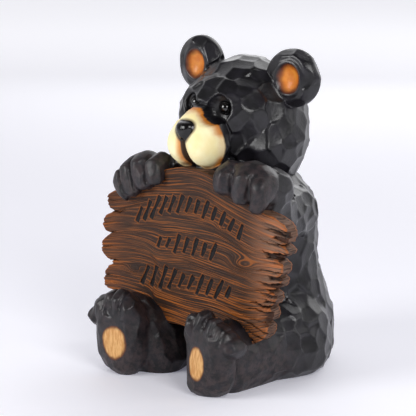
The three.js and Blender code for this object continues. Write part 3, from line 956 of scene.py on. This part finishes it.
# The bear: black, rubbed in places, then the cream muzzle, the orange ears, the tan pads and the nose.
def bearPaint():
    p = Paint("bear coat", 0.3, Specular_IOR_Level=0.42, Coat_Weight=0.2, Coat_Roughness=0.12)
    muzzle, nose, cup, pad = p.numbers("muzzleGap", "noseGap", "cupGap", "padGap")
    mouth, rub, edge, eye, side = p.numbers("mouthGap", "rub", "creamEdge", "eyeGap", "mouthSide")
    rise = p.add("ShaderNodeSeparateXYZ", {}, {0: p.place}, 2)
    wander = p.noise(90, 4) - 0.5
    fine = p.noise(420, 3) - 0.5

    black = p.mix(p.noise(70, 5, None, 0.6).ease(0.38, 0.68), tone(13, 12, 15), tone(29, 27, 33))
    black = p.mix(rub * p.noise(160, 5, None, 0.65).ease(0.38, 0.62), black, tone(70, 55, 55))
    # Painted shade: the hollows round the eye beads are darkened, as shade falls in them.
    hollow = 1 - (eye + wander * 4).ease(3.0, 9.0)
    black = p.mix(hollow * 0.7, black, tone(12, 11, 12))

    # The cream is burnt towards its back edge and brown along it, and orange and dark at mouth and nose.
    creamShare = 1 - (muzzle + wander * 1.4).ease(-0.7, 0.7)
    cream = p.mix(p.noise(60, 4).ease(0.3, 0.7), tone(250, 233, 172), tone(255, 246, 200))
    highOrLow = (0.35 + rise.ease(0.252, 0.264) + rise.ease(0.238, 0.228)).least(1)
    cream = p.mix((edge + wander * 7).ease(-15.0, -2.5) * highOrLow, cream, tone(200, 120, 30))
    cream = p.mix((edge + wander * 3).ease(-2.6, 0.4) * 0.8, cream, tone(84, 42, 16))
    leftward = 1.6 + side.ease(0.5, -0.5) * 4.0
    mouthGlow = 1 - ((mouth + wander * 1.5) / leftward).ease(0.4, 1.5)
    cream = p.mix(mouthGlow * 0.9, cream, tone(205, 122, 40))
    noseRing = 1 - (nose + wander * 2).ease(0.6, 3.4)
    cream = p.mix(noseRing * 0.9, cream, tone(66, 46, 38))
    cream = p.mix(1 - (mouth + wander * 0.8).ease(1.2, 2.4), cream, tone(52, 30, 22))
    colour = p.mix(creamShare, black, cream)

    cupShare = 1 - (cup + wander * 3).ease(-3.0, -0.6)
    orange = p.mix(p.noise(110, 5).ease(0.35, 0.65), tone(206, 116, 28), tone(222, 142, 52))
    orange = p.mix((cup + wander * 5).ease(-8, -1.8), orange, tone(92, 42, 16))
    colour = p.mix(cupShare, colour, orange)

    padShare = 1 - (pad + wander * 2.2).ease(-0.9, 0.3)
    upright = p.add("ShaderNodeMapping", {}, {"Vector": p.place, "Scale": (420, 420, 90)})
    tan = p.mix(p.noise(1.0, 5, upright, 0.6).ease(0.36, 0.64), tone(196, 138, 76), tone(222, 174, 112))
    tan = p.mix((pad + wander * 4).ease(-3.2, -0.4), tan, tone(96, 50, 22))
    colour = p.mix(padShare, colour, tan)

    noseShare = 1 - nose.ease(0.3, 0.9)
    colour = p.mix(noseShare, colour, tone(11, 9, 10))
    pale = creamShare.most(cupShare).most(padShare) * (1 - noseShare)
    roughness = 0.27 + p.noise(170, 4) * 0.14 + pale * 0.16 - noseShare * 0.16 + rub * 0.34
    coat = 0.16 - noseShare * 0.1 - rub * 0.16
    grain = p.bump((fine + wander) * (1 + rub * 1.5), 0.0004, 0.5)
    return p.finish(Base_Color=colour, Roughness=roughness, Coat_Weight=coat, Normal=grain)


# The plank: brown, greyer at its right end, with grain from stretched noise in three sizes, then strands at
# the torn ends with painted shade where they sink, worn rims, strokes, splits with painted shade, and the
# wall.
def plankPaint():
    p = Paint("plank wood paint", 0.55, Specular_IOR_Level=0.25)
    grain, stroke, tear, rim = p.numbers("grain", "strokeGap", "tear", "rimGap")
    relief, wall = p.numbers("relief", "onWall")
    x, y, z = (p.add("ShaderNodeSeparateXYZ", {}, {0: p.place}, axis) for axis in range(3))

    # Noise with so many steps to a metre across the plank, through it and over the grain.
    def layers(across, deep, over, detail):
        way = p.add("ShaderNodeCombineXYZ", {}, {0: x * across, 1: y * deep, 2: grain * over})
        return p.noise(1.0, detail, way)

    broad, lines, fine = layers(12, 60, 210, 3), layers(11, 60, 820, 2), layers(34, 90, 1500, 3)
    ends = x.calc("ABSOLUTE").ease(0.07, 0.12)
    ground = p.mix(broad.ease(0.35, 0.65), tone(47, 28, 17), tone(64, 42, 28))
    ground = p.mix(ends * x.ease(-0.02, 0.02), ground, tone(134, 100, 80))
    low = 1 - z.ease(0.075, 0.125)
    colour = p.mix(lines.ease(0.54 - low * 0.05, 0.63) * (0.6 + low * 0.35), ground, tone(166, 92, 30))
    colour = p.mix(lines.ease(0.46, 0.36) * (0.5 + ends * 0.35), colour, tone(30, 21, 17))
    colour = p.mix(fine.ease(0.55, 0.7) * 0.5, colour, tone(156, 90, 40))
    colour = p.mix(fine.ease(0.42, 0.3) * 0.4, colour, tone(44, 32, 27))
    tornShare = ends * (0.2 + x.ease(-0.02, 0.02) * 0.8)
    raised = 1 - (relief + fine - 0.5).ease(-0.5, 0.1)
    colour = p.mix(tornShare * raised * 0.6, colour, tone(206, 114, 50))
    # Painted shade: where the strands sink deeper they are darkened.
    sunk = (relief + fine * 0.5).ease(0.5, 1.4)
    colour = p.mix(tornShare * sunk * 0.7, colour, tone(54, 37, 30))
    outlined = (1 - (stroke + (fine - 0.5) * 0.0008).ease(0.0002, 0.0010)) * 0.6
    colour = p.mix(outlined, colour, tone(146, 82, 34))
    rimGlow = (1 - (rim + (fine - 0.5) * 0.001).ease(0.0004, 0.0016)) * (0.15 + ends * 0.5)
    colour = p.mix(rimGlow, colour, tone(160, 90, 40))
    colour = p.mix(1 - stroke.ease(-0.0006, 0.0001), colour, tone(17, 16, 18))
    # Painted shade: the splits are darkened by their depth.
    colour = p.mix(tear.ease(0.0008, 0.0035) * 0.9, colour, tone(36, 24, 20))
    endGrain = p.mix(lines.ease(0.4, 0.6), tone(54, 38, 32), tone(104, 80, 66))
    colour = p.mix(wall * rim.ease(0.0004, 0.0018) * 0.85, colour, endGrain)
    height = lines * 0.6 + fine * 0.4
    roughness = 0.46 + broad * 0.2
    return p.finish(Base_Color=colour, Roughness=roughness, Normal=p.bump(height, 0.0011, 0.8))


# The eyes: glossy black, hardly uneven.
def eyePaint():
    p = Paint("eye bead", 0.05, Coat_Weight=0.6, Coat_Roughness=0.03)
    colour = p.mix(p.noise(120, 2), tone(6, 5, 6), tone(16, 12, 11))
    return p.finish(Base_Color=colour, Roughness=0.04 + p.noise(200, 2) * 0.04)


# A new piece takes the place of its node, and rides on the one body.
def addPiece(mesh, material, node):
    piece = objectOf(mesh)
    mesh.materials.clear()
    mesh.materials.append(material)
    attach(piece, "root")
    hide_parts(node)
    return piece


addPiece(carveBear(), bearPaint(), "bear")
addPiece(carvePlank(), plankPaint(), "plank_sign")
beads = eyePaint()
addPiece(eyeBead("eyeBeadLeft", "eye_left"), beads, "eye_left")
addPiece(eyeBead("eyeBeadRight", "eye_right"), beads, "eye_right")
print("pieces placed")

studio = {"floor": 9.0, "floorTone": (243, 242, 247), "airNear": 0.10, "airFar": 1.2, "paperGlow": 0.58}
# Soft boxes: degrees from the bear's front towards its left, degrees up, distance, size and power.
softBoxes = {
    "top": (175, 40, 4.5, 3.0, 49), "front": (64, 30, 1.9, 0.85, 17), "side": (-24, 24, 2.0, 0.9, 22),
    "rim": (118, 26, 2.9, 1.6, 13), "back": (215, 26, 2.4, 1.6, 6),
}


# The floor: a disc, (r cos q, r sin q) with r growing as the square of its share.
def floorDisc():
    rings, columns = 23, 96
    share = np.linspace(0, 1, rings + 1)[1:][:, None]
    turn = np.linspace(0, 2 * math.pi, columns, endpoint=False)[None]
    r = studio["floor"] * share ** 2
    points = np.stack([r * np.cos(turn), r * np.sin(turn), 0 * r * turn], -1).reshape(-1, 3)
    index = np.arange(len(points)).reshape(-1, columns)
    fan = np.stack([np.full(columns, len(points)), index[0], np.roll(index[0], -1)], -1)
    return meshOf("floorDisc", np.concatenate([points, [[0, 0, 0]]]), roundQuads(index), fan)


floor = objectOf(floorDisc())
paper = Paint("floor paper", 0.7)
grey = paper.mix(paper.noise(3, 2), tone(*studio["floorTone"]), tone(240, 240, 245))
distance = paper.add("ShaderNodeVectorMath", {"operation": "LENGTH"}, {0: paper.place}, "Value")
glow = paper.mix(distance.ease(0.3, 4.5), (0.19, 0.19, 0.24, 1), tone(246, 246, 251))
paper.shader.inputs["Emission Strength"].default_value = studio["paperGlow"]
floor.data.materials.append(paper.finish(Base_Color=grey, Emission_Color=glow))


# A square lamp that looks at the middle of the bear.
def softBox(name, turn, rise, away, size, power):
    lamp = bpy.data.lights.new(name + "Box", "AREA")
    lamp.shape, lamp.size, lamp.energy = "SQUARE", size, power
    turn, rise = math.radians(turn), math.radians(rise)
    way = Vector((math.sin(turn) * math.cos(rise), -math.cos(turn) * math.cos(rise), math.sin(rise)))
    box = objectOf(lamp)
    box.location = Vector((0, 0, 0.15)) + way * away
    box.rotation_euler = (-way).to_track_quat("-Z", "Y").to_euler()


for name, box in softBoxes.items():
    softBox(name, *box)

# The air: pale behind the bear and dim on the side that the photograph was taken from.
world = bpy.data.worlds.new("studio air")
scene.world = world
world.use_nodes = True
air = Nodes(world.node_tree)
way = air.add("ShaderNodeTexCoord", {}, {}, "Generated")
dimWay = (-0.62, 0.74, -0.4)
facing = air.add("ShaderNodeVectorMath", {"operation": "DOT_PRODUCT"}, {0: way, 1: dimWay}, "Value")
strength = facing.ease(-0.2, 0.75) * (studio["airFar"] - studio["airNear"]) + studio["airNear"]
sky = world.node_tree.nodes["Background"]
sky.inputs["Color"].default_value = tone(246, 246, 250)
world.node_tree.links.new(strength.socket, sky.inputs["Strength"])
scene.view_settings.view_transform = "Standard"

# The camera: degrees to the bear's left and up, figure units away, the widths of picture and sensor, and
# where the picture's middle is, across and up, in figure units.
view = {"turn": 40, "rise": 11.5, "away": 1500, "picture": 416, "sensor": 36, "across": -38, "up": 146}
turn, rise = math.radians(view["turn"]), math.radians(view["rise"])
right = Vector((math.cos(turn), math.sin(turn), 0))
ahead = Vector((-math.sin(turn) * math.cos(rise), math.cos(turn) * math.cos(rise), -math.sin(rise)))
above = right.cross(ahead)
lens = bpy.data.cameras.new("camera")
lens.sensor_width, lens.clip_end = view["sensor"], 50
lens.lens = view["sensor"] * view["away"] / view["picture"]
camera = objectOf(lens)
place = (right * view["across"] + above * view["up"] - ahead * view["away"]) * unit
camera.matrix_world = Matrix.Translation(place) @ Matrix((right, above, -ahead)).transposed().to_4x4()
bpy.context.scene.camera = camera
print("studio set")
